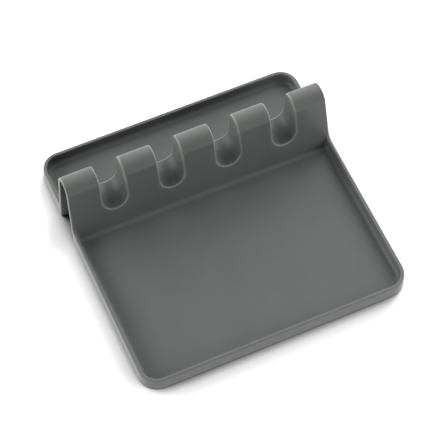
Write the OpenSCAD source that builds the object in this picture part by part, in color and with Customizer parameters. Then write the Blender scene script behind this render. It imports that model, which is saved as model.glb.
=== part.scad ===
// Utensil rest in soft moulded silicone: a drip tray in front, a hollow ridge that
// carries the utensil handles in half-round cradles, and a narrow tray behind it.
// Millimetres. +X runs along the ridge, -Y is the front, +Z is up.
// The origin is on the table, under the middle of the whole footprint.
// The real thing is one moulding. Its sections are nodes that meet face to face.

/* [Footprint] */
// Width of the trays and of the ridge
rest_w = 200; // [165:1:260]
// Depth of the front tray, from its front edge to the foot of the ridge
front_tray_d = 128; // [70:1:180]
// Depth of the ridge, from its front foot to the outside of its upright back wall
ridge_d = 28; // [22:0.5:38]
// Depth of the rear tray, from the ridge's back wall to the rear edge
rear_tray_d = 41.5; // [24:0.5:80]
// Outer corner radius of the front tray, seen from above
front_corner_r = 14; // [7:0.5:30]
// Outer corner radius of the rear tray, seen from above
rear_corner_r = 13.5; // [7:0.5:19]

/* [Trays] */
// Height of the rims above the table
rim_h = 12; // [9:0.5:18]
// Thickness of the rims
rim_t = 2.5; // [1.5:0.1:4]
// Thickness of the tray floors
floor_t = 2.5; // [1.5:0.25:4]
// Height of the foot that holds the floors clear of the table
foot_h = 1; // [0.5:0.1:2]
// Inside fillet where the floors turn up into the rims and the ridge
floor_fillet_r = 3; // [1:0.25:4]

/* [Ridge] */
// Height of the ridge above the table
ridge_h = 54; // [46:0.5:70]
// Thickness of the ridge walls and of the cradles
wall_t = 2.5; // [1.5:0.1:3.5]
// Outside radius of the rounded crown
crown_r = 9; // [5:0.5:11]
// Radius of the sweep from the ridge's front wall down onto the side rims
rim_sweep_r = 6; // [2:0.5:12]
// Slope of the ridge's ends above the rims, in degrees off upright
end_draft = 2; // [0:0.5:4]

/* [Cradles] */
// How many utensils lie side by side
cradle_n = 4; // [1:1:4]
// Distance from one cradle to the next
cradle_pitch = 43.5; // [30:0.5:54]
// Clear width of a cradle
cradle_w = 18.5; // [10:0.5:30]
// Height of a cradle's lowest line above the table
cradle_floor_h = 21; // [15:0.5:28]

/* [Hidden] */
$fn = 96;

silicone_grey = [0.36, 0.38, 0.38];
overrun = wall_t;

// The front-to-back places, from the front edge to the rear edge
rest_d = front_tray_d + ridge_d + rear_tray_d;
ridge_front_y = front_tray_d - rest_d / 2;
ridge_back_y = ridge_front_y + ridge_d;
floor_top = foot_h + floor_t;

// The crown touches the upright back wall, and the front wall leans back to touch it too
crown_y = ridge_back_y - crown_r;
crown_z = ridge_h - crown_r;
crown_run = crown_y - ridge_front_y;
crown_rise = crown_z - floor_top;
crown_reach = sqrt(crown_run * crown_run + crown_rise * crown_rise);
lean = acos(crown_r / crown_reach) - atan2(crown_rise, crown_run);

// Where the floor's fillet leaves the floor, and where the sweep leaves the side rims
function front_wall_y(z) = ridge_front_y + (z - floor_top) * tan(lean);
function blend_y(r, base_z) = front_wall_y(base_z + r) - r / cos(lean);
front_fillet_y = blend_y(floor_fillet_r, floor_top);
rim_sweep_y = blend_y(rim_sweep_r, rim_h);
front_joint_y = min(front_fillet_y, rim_sweep_y);
rear_joint_y = ridge_back_y + floor_fillet_r;
front_run_d = front_joint_y + rest_d / 2;
rear_run_d = rest_d / 2 - rear_joint_y;

cradle_axis_h = cradle_floor_h + cradle_w / 2;
function cradle_x(i) = (i - (cradle_n + 1) / 2) * cradle_pitch;
function flank_x(i, side) = cradle_x(i) + side * (cradle_w / 2 + wall_t);

// Draws an outline of depth and height, and runs it along the ridge
module along_ridge(length) {
    rotate([90, 0, 90])
        linear_extrude(height = length, center = true)
            children();
}

// Draws an outline of width and height, and runs it from y_high towards the front
module towards_front(y_high, length) {
    translate([0, y_high, 0])
        rotate([90, 0, 0])
            linear_extrude(height = length)
                children();
}

// Section of a rim: upright, the foot under the floor's edge, and the fillet between
module rim_section() {
    square([rim_t, rim_h]);
    square([rim_t + floor_fillet_r, floor_top]);
    difference() {
        square([rim_t + floor_fillet_r, floor_top + floor_fillet_r]);
        translate([rim_t + floor_fillet_r, floor_top + floor_fillet_r])
            circle(r = floor_fillet_r);
    }
}

// The same section on both sides of the rest, between two places
module side_rims(y_high, length) {
    for (flip = [0, 1])
        mirror([flip, 0, 0])
            translate([-rest_w / 2, 0, 0])
                towards_front(y_high, length)
                    rim_section();
}

// A rim round three sides of a tray whose open side lies on y = 0 and faces +Y
module tray_rim(depth, corner_r) {
    side_rims(0, depth - corner_r);
    translate([0, -depth, 0])
        along_ridge(rest_w - 2 * corner_r)
            rim_section();
    for (flip = [0, 1])
        mirror([flip, 0, 0])
            translate([corner_r - rest_w / 2, corner_r - depth, 0])
                rotate([0, 0, 180])
                    rotate_extrude(angle = 90)
                        translate([corner_r, 0])
                            mirror([1, 0])
                                rim_section();
}

// The floor inside that rim
module tray_floor(depth, corner_r) {
    inset = rim_t + floor_fillet_r;
    r = corner_r - inset;
    half_w = rest_w / 2 - inset;
    translate([0, 0, foot_h])
        linear_extrude(height = floor_t) {
            translate([-half_w, corner_r - depth])
                square([2 * half_w, depth - corner_r]);
            translate([r - half_w, inset - depth])
                square([2 * (half_w - r), depth - inset]);
            for (side = [-1, 1])
                translate([side * (half_w - r), corner_r - depth])
                    circle(r = r);
        }
}

// The whole bulk of the ridge, or the hollow under it when it is drawn in by the wall
module ridge_bulk(length, inset) {
    r = crown_r - inset;
    foot_z = inset > 0 ? -overrun : 0;
    front_foot_y = ridge_front_y + inset / cos(lean);
    along_ridge(length)
        translate([crown_y, crown_z])
            circle(r = r);
    along_ridge(length)
        polygon([
            [front_foot_y, foot_z],
            [front_foot_y, floor_top],
            [crown_y - r * cos(lean), crown_z + r * sin(lean)],
            [crown_y, crown_z],
            [crown_y + r, crown_z],
            [crown_y + r, foot_z]
        ]);
}

// Outline that the ridge's two sloping ends are trimmed to, seen from the front
module end_outline() {
    top_z = ridge_h + overrun;
    top_x = rest_w / 2 - (top_z - rim_h) * tan(end_draft);
    polygon([
        [-rest_w / 2, -overrun],
        [-rest_w / 2, rim_h],
        [-top_x, top_z],
        [top_x, top_z],
        [rest_w / 2, rim_h],
        [rest_w / 2, -overrun]
    ]);
}

// Trims what it holds to the sloping ends
module between_ends() {
    intersection() {
        union()
            children();
        towards_front(rest_d / 2, rest_d)
            end_outline();
    }
}

// Half-round trough, open upwards, as wide as a utensil handle or one wall wider
module cradle_outline(extra) {
    r = cradle_w / 2 + extra;
    translate([0, cradle_axis_h])
        circle(r = r);
    translate([-r, cradle_axis_h])
        square([2 * r, ridge_h - cradle_axis_h + overrun]);
}

// The space of one cradle through the whole depth of the ridge
module cradle_space(i, extra) {
    translate([cradle_x(i), 0, 0])
        towards_front(ridge_back_y + overrun, ridge_d + 2 * overrun)
            cradle_outline(extra);
}

// The space that all the cradles take out of the ridge's walls
module cradle_spaces() {
    for (i = [1 : cradle_n])
        cradle_space(i, wall_t);
}

// Fillet between the leaning wall and a level that it rises from, rooted in both
module wall_blend(r, base_z) {
    root = wall_t / 2;
    centre_y = blend_y(r, base_z);
    centre_z = base_z + r;
    difference() {
        polygon([
            [centre_y, base_z - root],
            [front_wall_y(base_z) + root, base_z - root],
            [centre_y + (r + root) * cos(lean), centre_z - (r + root) * sin(lean)],
            [centre_y, centre_z]
        ]);
        translate([centre_y, centre_z])
            circle(r = r);
    }
}

module front_tray_floor() {
    color(silicone_grey)
        translate([0, front_joint_y, 0])
            tray_floor(front_run_d, front_corner_r);
}

module front_tray_rim() {
    color(silicone_grey)
        translate([0, front_joint_y, 0])
            tray_rim(front_run_d, front_corner_r);
}

module rear_tray_floor() {
    color(silicone_grey)
        translate([0, rear_joint_y, 0])
            mirror([0, 1, 0])
                tray_floor(rear_run_d, rear_corner_r);
}

module rear_tray_rim() {
    color(silicone_grey)
        translate([0, rear_joint_y, 0])
            mirror([0, 1, 0])
                tray_rim(rear_run_d, rear_corner_r);
}

// Leaning wall with the cradles' mouths, its foot along the floor, and the ends of the side rims
module ridge_front_wall() {
    foot_y = ridge_front_y + wall_t / cos(lean);
    inner_r = crown_r - wall_t;
    color(silicone_grey)
        difference() {
            between_ends() {
                along_ridge(rest_w)
                    polygon([
                        [front_joint_y, 0],
                        [front_joint_y, floor_top],
                        [ridge_front_y, floor_top],
                        [crown_y - crown_r * cos(lean), crown_z + crown_r * sin(lean)],
                        [crown_y - inner_r * cos(lean), crown_z + inner_r * sin(lean)],
                        [foot_y, floor_top],
                        [foot_y, 0]
                    ]);
                along_ridge(rest_w)
                    wall_blend(floor_fillet_r, floor_top);
                for (flip = [0, 1])
                    mirror([flip, 0, 0])
                        translate([(rim_t - rest_w) / 2, 0, 0])
                            along_ridge(rim_t)
                                wall_blend(rim_sweep_r, rim_h);
                difference() {
                    side_rims(crown_y, crown_y - front_joint_y);
                    ridge_bulk(rest_w + 2 * overrun, wall_t / 2);
                }
            }
            cradle_spaces();
        }
}

// Upright wall down to the table, its foot along the rear floor, and the ends of the side rims
module ridge_back_wall() {
    color(silicone_grey)
        difference() {
            between_ends() {
                along_ridge(rest_w)
                    translate([ridge_back_y - wall_t, 0])
                        square([wall_t, crown_z]);
                along_ridge(rest_w)
                    translate([rear_joint_y, 0])
                        mirror([1, 0])
                            square([floor_fillet_r, floor_top]);
                along_ridge(rest_w)
                    difference() {
                        translate([ridge_back_y, floor_top])
                            square(floor_fillet_r);
                        translate([rear_joint_y, floor_top + floor_fillet_r])
                            circle(r = floor_fillet_r);
                    }
                side_rims(rear_joint_y, floor_fillet_r);
            }
            cradle_spaces();
        }
}

// One of the rounded tops between the cradles
module crest(i) {
    from_x = i == 1 ? -rest_w / 2 : flank_x(i - 1, 1);
    to_x = i == cradle_n + 1 ? rest_w / 2 : flank_x(i, -1);
    reach = 2 * crown_r;
    color(silicone_grey)
        between_ends()
            translate([(from_x + to_x) / 2, 0, 0])
                along_ridge(to_x - from_x)
                    translate([crown_y, crown_z])
                        intersection() {
                            difference() {
                                circle(r = crown_r);
                                circle(r = crown_r - wall_t);
                            }
                            polygon([
                                [0, 0],
                                [reach, 0],
                                [reach, reach],
                                [-reach, reach],
                                [-reach * cos(lean), reach * sin(lean)]
                            ]);
                        }
}

// A gutter with a half-round bottom and upright sides, trimmed to the ridge's outline
module cradle(i) {
    color(silicone_grey)
        difference() {
            intersection() {
                ridge_bulk(rest_w, 0);
                cradle_space(i, wall_t);
            }
            cradle_space(i, 0);
        }
}

front_tray_floor();
front_tray_rim();
rear_tray_floor();
rear_tray_rim();
ridge_front_wall();
ridge_back_wall();
for (i = [1 : cradle_n + 1])
    crest(i);
for (i = [1 : cradle_n])
    cradle(i);
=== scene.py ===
# %% [markdown]
# # A moulded silicone spoon rest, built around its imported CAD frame
# The real object is one soft moulding: a drip tray with a low rim, a hollow ridge
# with four half-round cradles for utensil handles, and a narrow tray behind.
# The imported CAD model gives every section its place. It is exact, but its edges are
# sharp. Soft mouldings never have sharp edges, and light shows that at once, so
# each section is made again here with rounded edges, on the same sizes.

import math

import bmesh
import bpy
from mathutils import Matrix, Vector


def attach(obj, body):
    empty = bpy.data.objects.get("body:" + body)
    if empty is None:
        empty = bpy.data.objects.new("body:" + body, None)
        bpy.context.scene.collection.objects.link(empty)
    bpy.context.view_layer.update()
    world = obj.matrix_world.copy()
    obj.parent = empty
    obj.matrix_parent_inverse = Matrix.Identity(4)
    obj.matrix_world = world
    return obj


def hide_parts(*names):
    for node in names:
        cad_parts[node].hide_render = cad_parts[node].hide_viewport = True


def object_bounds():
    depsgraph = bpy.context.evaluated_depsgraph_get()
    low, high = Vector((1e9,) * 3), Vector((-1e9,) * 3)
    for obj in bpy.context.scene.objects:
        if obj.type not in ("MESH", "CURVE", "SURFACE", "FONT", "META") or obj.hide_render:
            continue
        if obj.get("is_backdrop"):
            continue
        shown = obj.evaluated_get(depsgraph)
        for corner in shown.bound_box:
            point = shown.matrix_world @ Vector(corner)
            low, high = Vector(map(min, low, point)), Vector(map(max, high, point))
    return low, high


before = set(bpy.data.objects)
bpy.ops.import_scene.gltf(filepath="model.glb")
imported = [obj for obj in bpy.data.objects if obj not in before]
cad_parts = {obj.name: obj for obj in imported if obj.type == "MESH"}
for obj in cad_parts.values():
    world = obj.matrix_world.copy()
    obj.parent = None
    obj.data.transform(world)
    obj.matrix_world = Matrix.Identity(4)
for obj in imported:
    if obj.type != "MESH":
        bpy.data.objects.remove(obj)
cad_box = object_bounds()

# %% [markdown]
# ## The sizes
# All sizes are millimetres, as on a maker's drawing, and are turned into metres only
# when a mesh is made. They could be measured from the meshes of the CAD model, but
# named numbers are easier to follow. The first block repeats the driving sizes of the
# CAD source. The second holds what a moulding has beyond them: the small radii of its
# edges. Two measures that differ by less than TOUCH count as the same.

# %% Sizes of the moulding
MM = 0.001

REST_W = 200.0
FRONT_TRAY_D = 128.0
RIDGE_D = 28.0
REAR_TRAY_D = 41.5
FRONT_CORNER_R = 14.0
REAR_CORNER_R = 13.5
RIM_H = 12.0
RIM_T = 2.5
FLOOR_T = 2.5
FOOT_H = 1.0
FILLET_R = 3.0
RIDGE_H = 54.0
WALL_T = 2.5
CROWN_R = 9.0
RIM_SWEEP_R = 6.0
END_DRAFT = math.radians(2.0)
CRADLE_N = 4
CRADLE_PITCH = 43.5
CRADLE_W = 18.5
CRADLE_FLOOR_H = 21.0

EDGE_R = 0.8
FOOT_R = 1.2
LIP_R = 1.2
REAR_NOOK_R = 1.0

TOUCH = 1e-6
print("%.1f mm wide, rims %.1f mm high, ridge %.1f mm high" % (REST_W, RIM_H, RIDGE_H))

# %% [markdown]
# ## Places that follow from the sizes
# The ridge is a round crown that touches an upright back wall, and a front wall that
# leans back until it touches the crown too. Working out that lean once, as the CAD
# source does, keeps every later piece on the same surfaces.

# %% Places and the lean of the front wall
REST_D = FRONT_TRAY_D + RIDGE_D + REAR_TRAY_D
HALF_W = REST_W / 2
FLOOR_TOP = FOOT_H + FLOOR_T
RIDGE_FRONT_Y = FRONT_TRAY_D - REST_D / 2
RIDGE_BACK_Y = RIDGE_FRONT_Y + RIDGE_D
CROWN_Y = RIDGE_BACK_Y - CROWN_R
CROWN_Z = RIDGE_H - CROWN_R
CROWN_RUN = CROWN_Y - RIDGE_FRONT_Y
CROWN_RISE = CROWN_Z - FLOOR_TOP
LEAN = math.acos(CROWN_R / math.hypot(CROWN_RUN, CROWN_RISE)) - math.atan2(CROWN_RISE, CROWN_RUN)
WALL_OUT = {"front": (-math.cos(LEAN), math.sin(LEAN)), "back": (1.0, 0.0)}


def front_wall_y(z):
    """Depth of the front wall's outer face at a height."""
    return RIDGE_FRONT_Y + (z - FLOOR_TOP) * math.tan(LEAN)


def blend_y(r, base_z):
    """Depth at which a fillet of radius r leaves a level to climb the front wall."""
    return front_wall_y(base_z + r) - r / math.cos(LEAN)


FILLET_Y = blend_y(FILLET_R, FLOOR_TOP)
FRONT_JOINT_Y = min(FILLET_Y, blend_y(RIM_SWEEP_R, RIM_H))
REAR_JOINT_Y = RIDGE_BACK_Y + FILLET_R
print("front wall leans back %.1f degrees, joints at y %.1f and %.1f mm"
      % (math.degrees(LEAN), FRONT_JOINT_Y, REAR_JOINT_Y))

# %% [markdown]
# ## From rows of points to faces
# Every section can be thought of as rows of points with faces strung between them.
# Bevel and subdivision modifiers could round a plainer shape. Here each rounding has
# its own radius and has to meet its neighbour point for point, so the rows are worked
# out instead. `strip` joins two rows, `lattice` joins many, and `loft` closes both
# ends as well.

# %% Helpers that string faces between rows
ARC_STEPS = 5


def turn(steps, start=0.0, end=90.0):
    """Angles in radians, evenly spaced, both ends included."""
    return [math.radians(start + (end - start) * k / steps) for k in range(steps + 1)]


def strip(row, next_row, closed=False):
    """Four-sided faces between two rows of the same length."""
    count = len(row) if closed else len(row) - 1
    return [[row[k], row[(k + 1) % len(row)], next_row[(k + 1) % len(row)], next_row[k]]
            for k in range(count)]


def lattice(rows, closed=False):
    """Faces between each row and the next."""
    faces = []
    for row, next_row in zip(rows, rows[1:]):
        faces += strip(row, next_row, closed)
    return faces


def loft(rings):
    """A closed skin through rings of points, with a flat cap at each end."""
    return lattice(rings, closed=True) + [rings[0], rings[-1]]


print("a quarter turn in steps of %.0f degrees" % math.degrees(turn(ARC_STEPS)[1]))

# %% [markdown]
# ## Edges painted pale
# The thin pale lines along the rounded edges are a painted highlight: the edges are
# paled in the colour, in place of the glint of light on their small roundings. A shader
# can look for edges while it renders, but a value stored on each corner is quicker, and
# goes with the mesh wherever the mesh goes. The helper below finds them by how tightly
# the skin bends outwards: the angle between two faces over half their joint width is
# the bend of the surface, and a bend of one over a millimetre and a third counts as a
# full edge. The rims get a weaker painted highlight than the other pieces.

# %% Helper that marks the edges
SHARP_ANGLE = math.radians(38)
HIGHLIGHT_LAYER = "edge"
FULL_EDGE_BEND = 0.75
# Strength of the painted edge highlight on the rims and on all other pieces.
RIM_EDGE_HIGHLIGHT = 0.45
RIDGE_EDGE_HIGHLIGHT = 0.9


def mark_edge_highlights(skin, edge_highlight):
    """Writes to each corner how strongly its edge is painted pale as a highlight, from 0 to 1."""
    layer = skin.verts.layers.float.new(HIGHLIGHT_LAYER)
    for edge in skin.edges:
        angle = edge.calc_face_angle_signed(0.0)
        if not 0.0 < angle < SHARP_ANGLE:
            continue
        widths = sum(face.calc_area() for face in edge.link_faces) / edge.calc_length()
        bend = min(1.0, angle / (widths / 2) * MM / FULL_EDGE_BEND)
        for vert in edge.verts:
            vert[layer] = max(vert[layer], bend * edge_highlight)


print("a full edge is one of %.2f mm radius or less" % (1 / FULL_EDGE_BEND))

# %% [markdown]
# ## One closed skin for each section
# A mesh looks and exports best as one closed skin. `mould` joins corners that
# coincide, turns all faces outwards, cuts those of more than four corners into
# triangles, and shades the skin smooth, but for its true edges. Smooth shading alone
# would bend the light on the large flat faces towards their small round edges, and
# weighted normals keep them flat. `stand_for` then puts the piece in the place of its
# CAD node, which is hidden.

# %% Helpers that make a skin and stand it in its node's place
WELD_DIGITS = 4
MOST_CORNERS = 4
FLAT_FACE_WEIGHT = 100


def mould(name, faces, edge_highlight=RIDGE_EDGE_HIGHLIGHT):
    """Makes one closed, smooth-shaded mesh from faces given in millimetres."""
    places = {}
    polygons = []
    for face in faces:
        ring = [places.setdefault(tuple(round(c, WELD_DIGITS) for c in p), len(places))
                for p in face]
        ring = [v for k, v in enumerate(ring) if v != ring[k - 1]]
        if len(set(ring)) > 2:
            polygons.append(ring)
    mesh = bpy.data.meshes.new(name)
    mesh.from_pydata([[c * MM for c in p] for p in places], [], polygons)
    skin = bmesh.new()
    skin.from_mesh(mesh)
    bmesh.ops.recalc_face_normals(skin, faces=skin.faces)
    open_edges = sum(not edge.is_manifold for edge in skin.edges)
    # Stores how strongly each edge gets the painted highlight.
    mark_edge_highlights(skin, edge_highlight)
    bmesh.ops.triangulate(skin, faces=[f for f in skin.faces if len(f.verts) > MOST_CORNERS])
    skin.to_mesh(mesh)
    skin.free()
    mesh.shade_smooth()
    mesh.set_sharp_from_angle(angle=SHARP_ANGLE)
    piece = bpy.data.objects.new(name, mesh)
    bpy.context.collection.objects.link(piece)
    weighted = piece.modifiers.new("flat faces stay flat", "WEIGHTED_NORMAL")
    weighted.keep_sharp = True
    weighted.weight = FLAT_FACE_WEIGHT
    print("%-18s %5d faces, %d open edges" % (name, len(mesh.polygons), open_edges))
    return piece


def stand_for(piece, node):
    """Puts a piece in the place of its CAD node."""
    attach(piece, "root")
    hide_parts(node)
    return piece


# %% [markdown]
# ## The camera
# The camera comes before the pieces, so that every draft can be held against the
# photograph. It looks down at about 60 degrees from the front left, from far away and
# through a long lens, so the tray's sides run nearly parallel. It could be set by eye,
# but a fit is surer: the numbers come from laying the tray's four corners and the
# ridge's ends over their places in the picture.

# %% Camera
PICTURE_PX = 430
SENSOR_MM = 36.0
CAMERA_TURN = math.radians(-25.18)
CAMERA_HEIGHT = math.radians(59.75)
CAMERA_ROLL = math.radians(1.13)
CAMERA_DISTANCE = 1.37704
CAMERA_FOCAL_PX = 1937.44
AIM_OFFSET = Vector((0.00378, -0.00815))
AIM_FROM_FRONT = 100.0
AIM = Vector((0.0, (AIM_FROM_FRONT - REST_D / 2) * MM, 0.0))
NEAREST_SEEN = 0.05

backward = Vector((math.sin(CAMERA_TURN) * math.cos(CAMERA_HEIGHT),
                   -math.cos(CAMERA_TURN) * math.cos(CAMERA_HEIGHT),
                   math.sin(CAMERA_HEIGHT)))
level = Vector((math.cos(CAMERA_TURN), math.sin(CAMERA_TURN), 0.0))
upright = backward.cross(level)
right = math.cos(CAMERA_ROLL) * level + math.sin(CAMERA_ROLL) * upright
up = math.cos(CAMERA_ROLL) * upright - math.sin(CAMERA_ROLL) * level
eye = AIM - AIM_OFFSET.x * right - AIM_OFFSET.y * up + CAMERA_DISTANCE * backward

lens = bpy.data.cameras.new("camera")
lens.sensor_width = SENSOR_MM
lens.lens = CAMERA_FOCAL_PX / PICTURE_PX * SENSOR_MM
lens.clip_start = NEAREST_SEEN
camera = bpy.data.objects.new("camera", lens)
camera.matrix_world = Matrix.Translation(eye) @ Matrix((right, up, backward)).transposed().to_4x4()
bpy.context.collection.objects.link(camera)
bpy.context.scene.camera = camera
print("camera at", [round(c, 3) for c in eye], "lens %.0f mm" % lens.lens)

# %% [markdown]
# ## One station across the rest
# The rims, the floor fillet and the ridge walls run into each other without a seam.
# Made one by one they would show a step where they meet, so all are cut here by flat
# planes that hold the X direction. In each plane the outline across the rest is the
# same set of points: floor, fillet, the inside of the rim, its rounded top, the
# outside and the rounded foot. `station` gives that outline. It measures from a point
# outside the silicone, along a direction into it: how far down lie the rim's top, the
# floor and the underside. Where rim and floor come closer than the fillet and the
# edge need, the step between them is flattened, so the rim melts into the wall that
# it climbs.

# %% Outline across the rest
def drafted(x, z):
    """Width place drawn in by the slope of the ridge's ends above the rims."""
    return x - max(0.0, z - RIM_H) * math.tan(END_DRAFT)


def half_station(origin, direction, top, base, under, under_r):
    """Right-hand half of the outline, from the floor over the rim to the underside."""
    step = min(1.0, (base - top) / (FILLET_R + EDGE_R))
    inner_x = HALF_W - RIM_T
    half = []

    def put(x, depth):
        y = origin[0] + direction[0] * depth
        z = origin[1] + direction[1] * depth
        half.append((drafted(x, z), y, z))

    for a in turn(ARC_STEPS + 1):
        put(inner_x - FILLET_R * (1 - math.sin(a)), base - step * FILLET_R * (1 - math.cos(a)))
    for a in turn(ARC_STEPS):
        put(inner_x + EDGE_R * (1 - math.cos(a)), top + step * EDGE_R * (1 - math.sin(a)))
    for a in turn(ARC_STEPS):
        put(HALF_W - EDGE_R * (1 - math.sin(a)), top + EDGE_R * (1 - math.cos(a)))
    for a in turn(ARC_STEPS):
        put(HALF_W - under_r * (1 - math.cos(a)), under - under_r * (1 - math.sin(a)))
    return half


def mirrored(points):
    """The same points on the other side of the middle plane, in reverse order."""
    return [(-x, y, z) for x, y, z in reversed(points)]


def station(*measures):
    """The whole closed outline across the rest."""
    half = half_station(*measures)
    return half + mirrored(half)


STEP_POINTS = len(turn(ARC_STEPS + 1)) + len(turn(ARC_STEPS))
print("points from the floor up to the rim's top:", STEP_POINTS)

# %% [markdown]
# ## The shell of the ridge
# `shell` answers one question: at this height, where is the ridge's outline, drawn in
# by a given amount, and which way does it face? The walls are straight up to where
# the crown begins, and the crown is round. The lips of the cradles and the walls both
# ask it, so they lie on the same surface.

# %% The ridge's outline at a height
def shell(side, height, inset=0.0):
    """Depth, height and outward direction on the front or back of the ridge."""
    r = CROWN_R - inset
    out = WALL_OUT[side]
    touch_y = CROWN_Y + r * out[0]
    touch_z = CROWN_Z + r * out[1]
    if height <= touch_z:
        lean = math.tan(LEAN) if side == "front" else 0.0
        return touch_y - (touch_z - height) * lean, height, out
    rise = min(1.0, (height - CROWN_Z) / r)
    run = math.sqrt(1 - rise * rise) * (-1 if side == "front" else 1)
    return CROWN_Y + r * run, height, (run, rise)


CROWN_STEPS = 14
CROWN_ANGLES = [0.0, LEAN / 2] + turn(CROWN_STEPS, math.degrees(LEAN), 180 - math.degrees(LEAN))
print("crown arc in", len(CROWN_ANGLES) - 1, "steps")

# %% [markdown]
# ## The lip of a cradle
# A utensil's handle lies in a half-round gutter that cuts right through the ridge.
# Its lip is the detail that catches the light in the photograph. A boolean cut with a
# bevel could make it, but a bevel easily frays where the straight wall turns into the
# round crown. So the lip is made as a ball rolled along the edge would leave it: the
# ball's centre keeps its radius from both surfaces, and the lip is the arc between
# the two points that the ball touches. One place round the gutter gives one row: the
# seam on the ridge's outside, then the arc from where the ball touches the ridge to
# where it touches the gutter.

# %% One row of a lip
LIP_ARC_STEPS = 6
SEAM_R = CRADLE_W / 2 + WALL_T
BALL_PATH_R = CRADLE_W / 2 + LIP_R


def between(a, b, share):
    """Direction on the shorter arc from a to b."""
    angle = a.angle(b)
    return (math.sin((1 - share) * angle) * a + math.sin(share * angle) * b) / math.sin(angle)


def lip_row(cx, side, across, height, seam=None):
    """One row of the lip, for a ball at this height whose gutter side faces `across`."""
    y, z, out = shell(side, height, LIP_R)
    outward = Vector((0.0, out[0], out[1]))
    inward = Vector((across[0], 0.0, across[1]))
    ball = Vector((cx - across[0] * BALL_PATH_R, y, z))
    touch = ball + LIP_R * outward
    if seam is None:
        seam = (cx - across[0] * SEAM_R, touch.y, touch.z)
    shares = [k / LIP_ARC_STEPS for k in range(LIP_ARC_STEPS + 1)]
    return [seam] + [tuple(ball + LIP_R * between(outward, inward, share)) for share in shares]


print("seam %.2f mm from a gutter's middle, ball's path %.2f mm" % (SEAM_R, BALL_PATH_R))

# %% [markdown]
# ## The mouth of a cradle
# The rows go from the gutter's lowest line round a quarter of a circle, straight up
# the flank and over the shoulder of the crown to its top. They could be spaced
# evenly, but on the flank they follow the crown's own steps, so that lip and crest
# share their points.

# %% Rows round a mouth
BOTTOM_STEPS = 12
CRADLE_AXIS_H = CRADLE_FLOOR_H + CRADLE_W / 2
CRADLE_XS = [(i - (CRADLE_N - 1) / 2) * CRADLE_PITCH for i in range(CRADLE_N)]
FLANK_HEIGHTS = [CRADLE_AXIS_H]
FLANK_HEIGHTS += [CROWN_Z + (CROWN_R - LIP_R) * math.sin(a)
                  for a in CROWN_ANGLES if a <= math.pi / 2 + TOUCH]


def mouth(cx, side, hand):
    """Rows from the gutter's lowest line up one flank to the top of the crown."""
    rows = []
    for a in turn(BOTTOM_STEPS)[:-1]:
        seam_z = CRADLE_AXIS_H - SEAM_R * math.cos(a)
        seam = (cx + hand * SEAM_R * math.sin(a), shell(side, seam_z)[0], seam_z)
        height = CRADLE_AXIS_H - BALL_PATH_R * math.cos(a)
        rows.append(lip_row(cx, side, (-hand * math.sin(a), math.cos(a)), height, seam))
    for height in FLANK_HEIGHTS:
        rows.append(lip_row(cx, side, (-hand, 0.0), height))
    return rows


def wall_seam(cx, side, hand):
    """The part of a mouth's seam that lies on the straight wall, lowest place first."""
    top_z = CROWN_Z + CROWN_R * WALL_OUT[side][1]
    return [row[0] for row in mouth(cx, side, hand) if row[0][2] <= top_z + TOUCH]


print("rows round both mouths of a cradle:", 4 * len(mouth(0.0, "front", 1)))

# %% [markdown]
# ## Cradles
# Each cradle is a gutter one wall thick. Half a tube would be close to it, but its
# ends have to follow the leaning wall and the crown. The lip rows lie on those
# already, and close up into a ring, front and back. So the inside of the gutter is
# strung straight from the front lip to the back one, and its outside, which hides in
# the hollow of the ridge, from seam to seam.

# %% Cradles
def cradle_faces(cx):
    """Skin of one cradle: two lips, the inside of the gutter and its outside."""
    faces = []
    for hand in (-1, 1):
        front = mouth(cx, "front", hand)
        back = mouth(cx, "back", hand)
        faces += lattice(front) + lattice(back)
        faces += strip([row[-1] for row in front], [row[-1] for row in back])
        faces += strip([row[0] for row in front], [row[0] for row in back])
    return faces


cradles = [stand_for(mould("gutter_%d" % (k + 1), cradle_faces(cx)), "cradle_%d" % (k + 1))
           for k, cx in enumerate(CRADLE_XS)]
print(len(cradles), "cradles, each", CRADLE_W, "mm clear")

# %% [markdown]
# ## Crests
# Between the cradles the crown shows as short arches. An arch could be a slice of a
# bent tube, but the two outer ones end in a face that slopes in by two degrees, as
# anything drawn from a mould must, and that face has rounded edges. So each arch is
# lofted through rings that turn about the crown's axis, and a free end is the outer
# part of a station taken square onto the shell.

# %% Crests
FREE_END = None


def end_rows(y, z, out):
    """Points round the free end of the shell, from its outer face to its inner face."""
    return half_station((y, z), (-out[0], -out[1]), 0.0, 0.0, WALL_T, EDGE_R)[STEP_POINTS:]


def crest_ring(angle, from_x, to_x):
    """Outline of a crest in the plane through the crown's axis at an angle."""
    out = (math.cos(angle), math.sin(angle))
    y, z = CROWN_Y + CROWN_R * out[0], CROWN_Z + CROWN_R * out[1]
    inner_y, inner_z = y - WALL_T * out[0], z - WALL_T * out[1]
    right_end = [(to_x, y, z), (to_x, inner_y, inner_z)]
    left_end = [(from_x, inner_y, inner_z), (from_x, y, z)]
    if to_x is FREE_END:
        right_end = end_rows(y, z, out)
    if from_x is FREE_END:
        left_end = mirrored(end_rows(y, z, out))
    return right_end + left_end


def crest_faces(from_x, to_x):
    """Skin of one crest between two seams, or from a seam to the ridge's free end."""
    return loft([crest_ring(a, from_x, to_x) for a in CROWN_ANGLES])


crest_starts = [FREE_END] + [cx + SEAM_R for cx in CRADLE_XS]
crest_ends = [cx - SEAM_R for cx in CRADLE_XS] + [FREE_END]
crests = [stand_for(mould("arch_%d" % (k + 1), crest_faces(*span)), "crest_%d" % (k + 1))
          for k, span in enumerate(zip(crest_starts, crest_ends))]
print(len(crests), "crests, the inner ones %.1f mm long" % (CRADLE_PITCH - 2 * SEAM_R))

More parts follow.
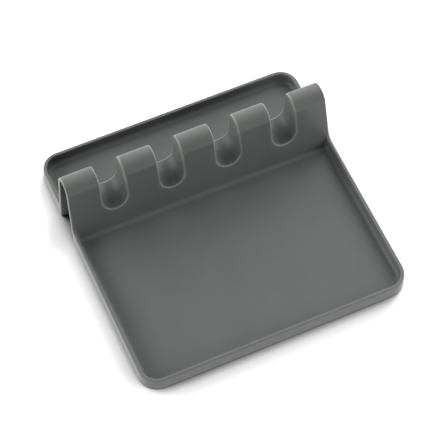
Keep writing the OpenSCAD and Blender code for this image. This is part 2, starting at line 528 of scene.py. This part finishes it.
# %% [markdown]
# ## The front wall of the ridge
# Its foot is the awkward place. The floor turns up into the wall, and the side rims
# sweep up into the wall's ends. Two fillets that cross could each be made alone, but
# their meeting would need patching by hand. A fan of stations solves both: they turn
# about the centre of the rim's sweep, from straight down at the joint with the tray
# to square onto the wall. Each station only needs to know how far away floor and
# underside are.

# %% Helpers for a fan of stations
def toward(angle, sign=1):
    """Direction that turns from straight down towards the ridge."""
    return (sign * math.sin(angle), -math.cos(angle))


def far_side_of_circle(origin, direction, centre, r):
    """Distance to where a ray leaves a circle."""
    oy, oz = centre[0] - origin[0], centre[1] - origin[1]
    along = oy * direction[0] + oz * direction[1]
    return along + math.sqrt(along * along - oy * oy - oz * oz + r * r)


# %% Front wall: the fan's centre and what it meets
FRONT_HUB = (FRONT_JOINT_Y, RIM_H + RIM_SWEEP_R)
FRONT_FOOT_Y = RIDGE_FRONT_Y + WALL_T / math.cos(LEAN)
FRONT_SQUARE = math.pi / 2 - LEAN
fillet_centre = (FILLET_Y, FLOOR_TOP + FILLET_R)
fillet_end = (FILLET_Y + FILLET_R * math.cos(LEAN), FLOOR_TOP + FILLET_R * (1 - math.sin(LEAN)))


def front_angle(y, z):
    """Angle at which the fan passes through a place."""
    return math.atan2(y - FRONT_HUB[0], FRONT_HUB[1] - z)


print("fan from y %.1f mm, fillet between %.0f and %.0f degrees"
      % (FRONT_HUB[0], math.degrees(front_angle(FILLET_Y, FLOOR_TOP)),
         math.degrees(front_angle(*fillet_end))))


# %% Front wall: the stations of its foot
def front_station(angle):
    """Outline across the rest in the plane that the fan holds at an angle."""
    d = toward(angle)
    square_on = d[0] * math.cos(LEAN) - d[1] * math.sin(LEAN)
    if angle <= front_angle(FILLET_Y, FLOOR_TOP):
        base = (FRONT_HUB[1] - FLOOR_TOP) / math.cos(angle)
    elif angle <= front_angle(*fillet_end):
        base = far_side_of_circle(FRONT_HUB, d, fillet_centre, FILLET_R)
    else:
        base = RIM_SWEEP_R / square_on
    if angle <= front_angle(FRONT_FOOT_Y, 0.0) + TOUCH:
        return station(FRONT_HUB, d, RIM_SWEEP_R, base, FRONT_HUB[1] / math.cos(angle), FOOT_R)
    if angle <= front_angle(FRONT_FOOT_Y, FLOOR_TOP) + TOUCH:
        under = (FRONT_FOOT_Y - FRONT_HUB[0]) / math.sin(angle)
    else:
        under = (RIM_SWEEP_R + WALL_T) / square_on
    return station(FRONT_HUB, d, RIM_SWEEP_R, base, under, EDGE_R)


WALL_STEPS = 12
fillet_from, fillet_to = front_angle(FILLET_Y, FLOOR_TOP), front_angle(*fillet_end)
front_angles = [0.0] + turn(ARC_STEPS, math.degrees(fillet_from), math.degrees(fillet_to))
front_angles += [front_angle(FRONT_FOOT_Y, 0.0), front_angle(FRONT_FOOT_Y, FLOOR_TOP)]
front_angles += turn(WALL_STEPS, math.degrees(front_angles[-1]), math.degrees(FRONT_SQUARE))[1:]
front_fan = [front_station(a) for a in front_angles]
print("front fan:", len(front_fan), "stations of", len(front_fan[0]), "points")

# %% [markdown]
# ## The plate above the foot
# Above the last station a wall is a flat plate with a notch for every cradle. The
# notches could be cut, but the seams of the cradles are known already, so the plate
# is laid out round them and meets them point for point. One function makes both
# walls: an outer and an inner outline with the same notches, the faces that touch the
# cradles and the crests, and the rounded ends.

# %% A notched wall above its foot
def plate_faces(side, belt):
    """Faces of a wall from its belt, the last station of its foot, up to the crown."""
    out = WALL_OUT[side]
    top_y, top_z = CROWN_Y + CROWN_R * out[0], CROWN_Z + CROWN_R * out[1]
    inner_top = (top_y - WALL_T * out[0], top_z - WALL_T * out[1])

    def inner(point):
        if point[2] >= top_z - TOUCH:
            return (point[0], *inner_top)
        return (point[0], shell(side, point[2], WALL_T)[0], point[2])

    half = belt[:len(belt) // 2]
    belt_outer = half[:STEP_POINTS + 1]
    belt_end = half[STEP_POINTS:]
    top_end = end_rows(top_y, top_z, out)
    outer = mirrored(belt_outer) + belt_outer + [top_end[0]]
    inside = [(-half[-1][0], *half[-1][1:]), half[-1], top_end[-1]]
    faces = strip(belt_end, top_end) + strip(mirrored(belt_end), mirrored(top_end))
    edge = list(top_end)
    for cx in reversed(CRADLE_XS):
        right_seam, left_seam = wall_seam(cx, side, 1), wall_seam(cx, side, -1)
        notch = right_seam[::-1] + left_seam[1:]
        notch_inner = [inner(p) for p in notch]
        outer += notch
        inside += notch_inner
        faces += strip(notch, notch_inner)
        faces.append([notch[0], *edge, notch_inner[0]])
        edge = [notch[-1], notch_inner[-1]]
    left_end = mirrored(top_end)
    faces.append([edge[0], edge[1], *left_end])
    outer.append(left_end[-1])
    inside.append(left_end[0])
    return faces + [outer, inside]


def wall_faces(side, fan):
    """The whole skin of a wall: the fan of its foot, the first station and the plate."""
    return lattice(fan, closed=True) + [fan[0]] + plate_faces(side, fan[-1])


front_wall = stand_for(mould("leaning_wall", wall_faces("front", front_fan)), "ridge_front_wall")

# %% [markdown]
# ## The back wall of the ridge
# It stands upright, down to the table. The rear floor turns up into it with the same
# fillet, but the rear rims meet it almost square, with a nook only a millimetre
# round. A plain plate would leave both out, so it is made as the front wall is, with
# a fan about a point close behind it.

# %% Back wall
REAR_HUB = (RIDGE_BACK_Y + REAR_NOOK_R, RIM_H + REAR_NOOK_R)
REAR_INNER_Y = RIDGE_BACK_Y - WALL_T
rear_fillet_centre = (REAR_JOINT_Y, FLOOR_TOP + FILLET_R)


def rear_station(angle, y=REAR_HUB[0]):
    """Outline across the rest behind the ridge, seen from a place over the rear rims."""
    hub, d = (y, REAR_HUB[1]), toward(angle, -1)
    if angle <= math.atan2(REAR_NOOK_R, hub[1] - FLOOR_TOP - FILLET_R):
        base = far_side_of_circle(hub, d, rear_fillet_centre, FILLET_R)
    else:
        base = REAR_NOOK_R / math.sin(angle)
    if angle <= math.atan2(hub[0] - REAR_INNER_Y, hub[1]) + TOUCH:
        return station(hub, d, REAR_NOOK_R, base, hub[1] / math.cos(angle), FOOT_R)
    return station(hub, d, REAR_NOOK_R, base, (hub[0] - REAR_INNER_Y) / math.sin(angle), EDGE_R)


FOOT_STEPS = 4
foot_run = REAR_JOINT_Y - REAR_HUB[0]
rear_fan = [rear_station(0.0, REAR_JOINT_Y - foot_run * k / FOOT_STEPS)
            for k in range(FOOT_STEPS + 1)]
rear_corner = math.degrees(math.atan2(REAR_HUB[0] - REAR_INNER_Y, REAR_HUB[1]))
rear_angles = turn(FOOT_STEPS, 0, rear_corner)[1:] + turn(WALL_STEPS, rear_corner, 90)[1:]
rear_fan += [rear_station(a) for a in rear_angles]
print("rear fan:", len(rear_fan), "stations")
back_wall = stand_for(mould("upright_wall", wall_faces("back", rear_fan)), "ridge_back_wall")

# %% [markdown]
# ## Rims
# A rim is one section pushed along three sides of its tray. A curve with a bevel
# profile could do that. Rings of points do it too, and their last ring has the very
# points of the wall that it meets: the section is the outermost part of a station, so
# rim and wall meet without a step. At the corners it turns about a point inside the
# tray.

# %% Rims
CORNER_STEPS = 16
TOE = RIM_T + FILLET_R


def rim_section():
    """The rim's section: distance from the outer face inwards, and height."""
    half = half_station((0.0, RIM_H), (0.0, -1.0), 0.0, RIM_H - FLOOR_TOP, RIM_H, FOOT_R)
    return [(HALF_W - x, z) for x, y, z in half] + [(TOE, 0.0), (TOE, FOOT_H)]


def rim_rings(joint_y, far_y, corner_r):
    """Rings of the section, from one end of the rim round to the other."""
    away = 1 if far_y > joint_y else -1
    section = rim_section()
    centre = (HALF_W - corner_r, far_y - away * corner_r)

    def ring(x, y, a):
        return [(x - u * math.cos(a), y - u * away * math.sin(a), z) for u, z in section]

    rings = [ring(HALF_W, joint_y, 0.0)]
    for a in turn(CORNER_STEPS):
        x = centre[0] + corner_r * math.cos(a)
        y = centre[1] + away * corner_r * math.sin(a)
        rings.append(ring(x, y, a))
    return rings + [[(-x, y, z) for x, y, z in r] for r in reversed(rings)]


front_rings = rim_rings(FRONT_JOINT_Y, -REST_D / 2, FRONT_CORNER_R)
rear_rings = rim_rings(REAR_JOINT_Y, REST_D / 2, REAR_CORNER_R)
front_rim = stand_for(mould("front_rim", loft(front_rings), RIM_EDGE_HIGHLIGHT), "front_tray_rim")
rear_rim = stand_for(mould("rear_rim", loft(rear_rings), RIM_EDGE_HIGHLIGHT), "rear_tray_rim")

# %% [markdown]
# ## Floors
# The floors fill the space between the rims' fillets. Each is a flat plate, so its
# outline is all that has to be worked out. Their underside is a millimetre off the
# table, so the rest stands on its rims and walls alone.

# %% Floors
def floor_faces(joint_y, far_y, corner_r):
    """Skin of a floor, from its joint with the wall to its rounded far corners."""
    away = 1 if far_y > joint_y else -1
    r = corner_r - TOE
    centre = (HALF_W - corner_r, far_y - away * corner_r)
    outline = [(HALF_W - TOE, joint_y)]
    for a in turn(CORNER_STEPS):
        outline.append((centre[0] + r * math.cos(a), centre[1] + away * r * math.sin(a)))
    outline += [(-x, y) for x, y in reversed(outline)]
    return loft([[(x, y, z) for x, y in outline] for z in (FOOT_H, FLOOR_TOP)])


front_skin = floor_faces(FRONT_JOINT_Y, -REST_D / 2, FRONT_CORNER_R)
rear_skin = floor_faces(REAR_JOINT_Y, REST_D / 2, REAR_CORNER_R)
front_floor = stand_for(mould("front_floor", front_skin), "front_tray_floor")
rear_floor = stand_for(mould("rear_floor", rear_skin), "rear_tray_floor")

silicone_pieces = [front_floor, front_rim, rear_floor, rear_rim, front_wall, back_wall]
silicone_pieces += crests + cradles
print(len(silicone_pieces), "pieces in all")

# %% [markdown]
# ## Small helpers for the shader nodes
# A material is built from nodes, and a few kinds come back again and again: a sum or
# product, a ramp, and a mix of two colours. Each helper adds one node and gives its
# result, so that a material reads as a few lines.

# %% Helpers for shader nodes
def feed(tree, socket, source):
    """Links a socket to another one, or sets it to a plain value."""
    if isinstance(source, bpy.types.NodeSocket):
        tree.links.new(source, socket)
    else:
        socket.default_value = source


def combined(tree, operation, first, second):
    """Result of a Math node on two sockets."""
    node = tree.nodes.new("ShaderNodeMath")
    node.operation = operation
    tree.links.new(first, node.inputs[0])
    tree.links.new(second, node.inputs[1])
    return node.outputs["Value"]


def ramp(tree, value, start, end, top, bottom=0.0, rise="SMOOTHSTEP"):
    """Rises from bottom to top while the value goes from start to end."""
    node = tree.nodes.new("ShaderNodeMapRange")
    node.interpolation_type = rise
    node.inputs["From Min"].default_value = start
    node.inputs["From Max"].default_value = end
    node.inputs["To Min"].default_value = bottom
    node.inputs["To Max"].default_value = top
    tree.links.new(value, node.inputs["Value"])
    return node.outputs["Result"]


def mixed(tree, first, second, share):
    """A colour that goes from the first to the second with its share."""
    node = tree.nodes.new("ShaderNodeMix")
    node.data_type = "RGBA"
    feed(tree, node.inputs["A"], first)
    feed(tree, node.inputs["B"], second)
    tree.links.new(share, node.inputs["Factor"])
    return node.outputs["Result"]


# %% [markdown]
# ## Silicone
# Moulded silicone is a satin rubber. Seen square on it is dark grey, and seen along
# its surface it mirrors its bright surroundings softly, which is why the left-hand
# sides of the rims look so pale. One even grey would do for the colour, but it would
# look like paint. Two things keep it from that: slow clouds in its tone and the
# mould's fine grain in its gloss. The thin pale lines round the cradles are a painted
# highlight: the rounded edges are paled in the colour, and a patchy noise makes that uneven.

# %% Numbers of the silicone
SILICONE_IOR = 1.45
DARK_TONE = (0.101, 0.107, 0.1045, 1.0)
LIGHT_TONE = (0.111, 0.117, 0.1135, 1.0)
# Colour of the painted highlight along the rounded edges.
EDGE_HIGHLIGHT_TONE = (0.225, 0.226, 0.203, 1.0)
GLOSSIEST, DULLEST = 0.27, 0.33
# Weakest share of the painted edge highlight, where the patchy noise is low.
LEAST_HIGHLIGHT = 0.75
CLOUDS = {"Scale": 28.0, "Detail": 3.0}
PATCHES = {"Scale": 160.0, "Detail": 2.0}
GRAIN = {"Scale": 2200.0, "Detail": 2.0}
NOISE_SPAN = (0.3, 0.7)
GRAIN_STRENGTH = 0.25
GRAIN_DEPTH = 0.02 * MM
for name, sizes in (("cloud", CLOUDS), ("patch", PATCHES), ("grain", GRAIN)):
    print("a %s is about %.2f mm across" % (name, 1 / sizes["Scale"] / MM))


# %% Helper for noise that lies still on the silicone
def noise(tree, sizes):
    """A noise in the piece's own space, so that it moves with the piece."""
    place = tree.nodes.new("ShaderNodeTexCoord")
    node = tree.nodes.new("ShaderNodeTexNoise")
    for name, value in sizes.items():
        node.inputs[name].default_value = value
    tree.links.new(place.outputs["Object"], node.inputs["Vector"])
    return node.outputs["Fac"]


# %% Silicone material
def silicone_material():
    """Dark grey silicone with clouds, grain and a painted highlight on its edges."""
    material = bpy.data.materials.new("dark_grey_silicone")
    material.use_nodes = True
    tree = material.node_tree
    shader = tree.nodes["Principled BSDF"]
    shader.inputs["IOR"].default_value = SILICONE_IOR

    def spread(source, low, high):
        return ramp(tree, source, *NOISE_SPAN, high, low, "LINEAR")

    tone = mixed(tree, DARK_TONE, LIGHT_TONE, spread(noise(tree, CLOUDS), 0.0, 1.0))
    # Painted highlight: the rounded edges are paled in the colour, unevenly by a patchy noise.
    edge = tree.nodes.new("ShaderNodeAttribute")
    edge.attribute_name = HIGHLIGHT_LAYER
    patchy = spread(noise(tree, PATCHES), LEAST_HIGHLIGHT, 1.0)
    painted_highlight = combined(tree, "MULTIPLY", edge.outputs["Fac"], patchy)
    feed(tree, shader.inputs["Base Color"], mixed(tree, tone, EDGE_HIGHLIGHT_TONE, painted_highlight))

    grain = noise(tree, GRAIN)
    feed(tree, shader.inputs["Roughness"], spread(grain, GLOSSIEST, DULLEST))
    bump = tree.nodes.new("ShaderNodeBump")
    bump.inputs["Strength"].default_value = GRAIN_STRENGTH
    bump.inputs["Distance"].default_value = GRAIN_DEPTH
    feed(tree, bump.inputs["Height"], grain)
    feed(tree, shader.inputs["Normal"], bump.outputs["Normal"])
    return material


silicone = silicone_material()
for piece in silicone_pieces:
    piece.data.materials.append(silicone)
print("silicone on", len(silicone_pieces), "pieces")

# %% [markdown]
# ## White surroundings
# The photograph was taken on a white sweep under soft light. Two things make the look:
# light that falls on the silicone, and white surroundings that mirror softly in it.
# Real white cards would do both at once, but then neither could be set alone. Light
# Path tells them apart: mirror rays see a white that gives no light.

# %% Helper for mirror rays
def mirror_rays(tree, rays):
    """One for a ray that a glossy or a clear surface sends out."""
    return combined(tree, "MAXIMUM", rays.outputs["Is Glossy Ray"],
                    rays.outputs["Is Transmission Ray"])


# %% [markdown]
# ## White paper
# For the camera alone the paper is a third brighter than it is, as in a picture
# exposed to burn its background out. Ambient occlusion takes that away again where
# the rest stands close over the paper, which paints the dark seam of a soft shadow
# into its colour. It also paints shade into the white that mirrors see, where the
# paper lies deep under the rest, as in the tunnel of the ridge.
# More lamps could burn the paper out too, but they would wash out the silicone. Far
# from the rest the paper is plain white, so that no horizon shows from low down.

# %% Numbers of the paper
PAPER_COLOUR = (0.95, 0.95, 0.95, 1.0)
PAPER_ROUGHNESS = 0.9
PAPER_REACH = 3.0
BRIGHT_PAPER = 1.33
MIRRORED_WHITE = 0.90
CONTACT_REACH = 0.08
SEEN_OPENNESS = (0.30, 0.78)
MIRRORED_OPENNESS = (0.28, 0.50)
FAR_PAPER = (0.25, 0.60)
print("plain white beyond %.2f m from the rest's middle" % FAR_PAPER[1])


# %% White paper
def white_paper():
    """Paper that is bright to the camera, with a painted shadow near the rest, and white in
    mirrors but painted dark deep under it.
    """
    paper = bpy.data.materials.new("white_paper")
    paper.use_nodes = True
    tree = paper.node_tree
    rays = tree.nodes.new("ShaderNodeLightPath")
    seen = rays.outputs["Is Camera Ray"]
    overhead = tree.nodes.new("ShaderNodeAmbientOcclusion")
    overhead.inputs["Distance"].default_value = CONTACT_REACH
    openness = overhead.outputs["AO"]
    place = tree.nodes.new("ShaderNodeTexCoord")
    away = tree.nodes.new("ShaderNodeVectorMath")
    away.operation = "LENGTH"
    feed(tree, away.inputs[0], place.outputs["Object"])

    lit = tree.nodes["Principled BSDF"]
    lit.inputs["Roughness"].default_value = PAPER_ROUGHNESS
    lit.inputs["Specular IOR Level"].default_value = 0.0
    # Painted shadow: ambient occlusion darkens the paper's colour near the rest.
    bright = ramp(tree, openness, *SEEN_OPENNESS, BRIGHT_PAPER)
    feed(tree, lit.inputs["Base Color"], mixed(tree, PAPER_COLOUR, bright, seen))

    white = tree.nodes.new("ShaderNodeEmission")
    # Painted shade: the white that mirrors see goes dark where the paper lies deep under the rest.
    mirrored = ramp(tree, openness, *MIRRORED_OPENNESS, MIRRORED_WHITE)
    feed(tree, white.inputs["Strength"], combined(tree, "MAXIMUM", mirrored, seen))

    far = combined(tree, "MULTIPLY", ramp(tree, away.outputs["Value"], *FAR_PAPER, 1.0), seen)
    either = tree.nodes.new("ShaderNodeMixShader")
    feed(tree, either.inputs["Fac"], combined(tree, "MAXIMUM", mirror_rays(tree, rays), far))
    feed(tree, either.inputs[1], lit.outputs["BSDF"])
    feed(tree, either.inputs[2], white.outputs["Emission"])
    feed(tree, tree.nodes["Material Output"].inputs["Surface"], either.outputs["Shader"])
    return paper


# %% Lay the paper
sweep = bpy.data.meshes.new("white_sweep")
corners = [(x * PAPER_REACH, y * PAPER_REACH, 0) for x, y in ((-1, -1), (1, -1), (1, 1), (-1, 1))]
sweep.from_pydata(corners, [], [(0, 1, 2, 3)])
sweep.materials.append(white_paper())
floor = bpy.data.objects.new("white_sweep", sweep)
bpy.context.collection.objects.link(floor)
floor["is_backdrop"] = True
print("white sweep %.0f m across" % (2 * PAPER_REACH))

# %% [markdown]
# ## White tent
# Everything above the paper is a tent that only mirrors and the camera see. White
# panels could stand there, but the world's background does it without a mesh. It is
# dimmer towards the front, where the room behind the camera is open. A tent as bright
# there would draw too strong a line along the fillet at the foot of the ridge.

# %% White tent
MIRRORED_ROOM = 0.48
FRONT_TURN = 0.35


def white_tent():
    """A world that mirrors and the camera see, and that gives no light."""
    tent = bpy.data.worlds.new("white_tent")
    tent.use_nodes = True
    tree = tent.node_tree
    rays = tree.nodes.new("ShaderNodeLightPath")
    direction = tree.nodes.new("ShaderNodeTexCoord")
    split = tree.nodes.new("ShaderNodeSeparateXYZ")
    feed(tree, split.inputs["Vector"], direction.outputs["Generated"])
    white = ramp(tree, split.outputs["Y"], -FRONT_TURN, FRONT_TURN, MIRRORED_WHITE, MIRRORED_ROOM)
    mirrored = combined(tree, "MULTIPLY", mirror_rays(tree, rays), white)
    background = tree.nodes["Background"]
    background.inputs["Color"].default_value = (1.0, 1.0, 1.0, 1.0)
    feed(tree, background.inputs["Strength"],
         combined(tree, "MAXIMUM", mirrored, rays.outputs["Is Camera Ray"]))
    return tent


bpy.context.scene.world = white_tent()
print("white tent, %.2f bright behind and %.2f in front" % (MIRRORED_WHITE, MIRRORED_ROOM))

# %% [markdown]
# ## Softboxes
# Five large round lamps stand about the rest. A single lamp could light it, but one
# side would go black. The two behind it brighten the backs of the crests and throw
# the soft shadow forwards. The high one on the right lights the trays. The ones at
# the left and front right only open up the darkest faces.

# %% Softboxes
SOFTBOX_SIZE = 1.0
SOFTBOX_DISTANCE = 1.3
SOFTBOXES = [
    # name, bearing from +X and height in degrees, watts
    ("softbox_right", 22, 45, 9.3),
    ("softbox_back_right", 45, 18, 19.2),
    ("softbox_back_left", 135, 18, 19.1),
    ("softbox_left", 180, 18, 12.1),
    ("softbox_front_right", 315, 18, 11.8),
]


def softbox(name, bearing, height, watts):
    """A round soft lamp that faces the rest."""
    turn_z, turn_up = math.radians(bearing), math.radians(height)
    away = Vector((math.cos(turn_up) * math.cos(turn_z),
                   math.cos(turn_up) * math.sin(turn_z),
                   math.sin(turn_up)))
    light = bpy.data.lights.new(name, "AREA")
    light.shape = "DISK"
    light.size = SOFTBOX_SIZE
    light.energy = watts
    lamp = bpy.data.objects.new(name, light)
    lamp.location = SOFTBOX_DISTANCE * away
    lamp.rotation_euler = away.to_track_quat("Z", "Y").to_euler()
    lamp.visible_camera = False
    lamp.visible_glossy = False
    bpy.context.collection.objects.link(lamp)


for lamp_numbers in SOFTBOXES:
    softbox(*lamp_numbers)
bpy.context.scene.view_settings.view_transform = "Standard"
print(len(SOFTBOXES), "softboxes")

# %% [markdown]
# ## The two boxes
# Rounded edges must not make the rest any bigger or smaller. The box of the finished
# pieces is printed beside the CAD box, so the two can be compared after every render.

boxes = {"cad": [list(c) for c in cad_box], "visual": [list(c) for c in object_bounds()]}
for name, box in boxes.items():
    print(name, "box in mm:", [[round(c / MM, 2) for c in corner] for corner in box])
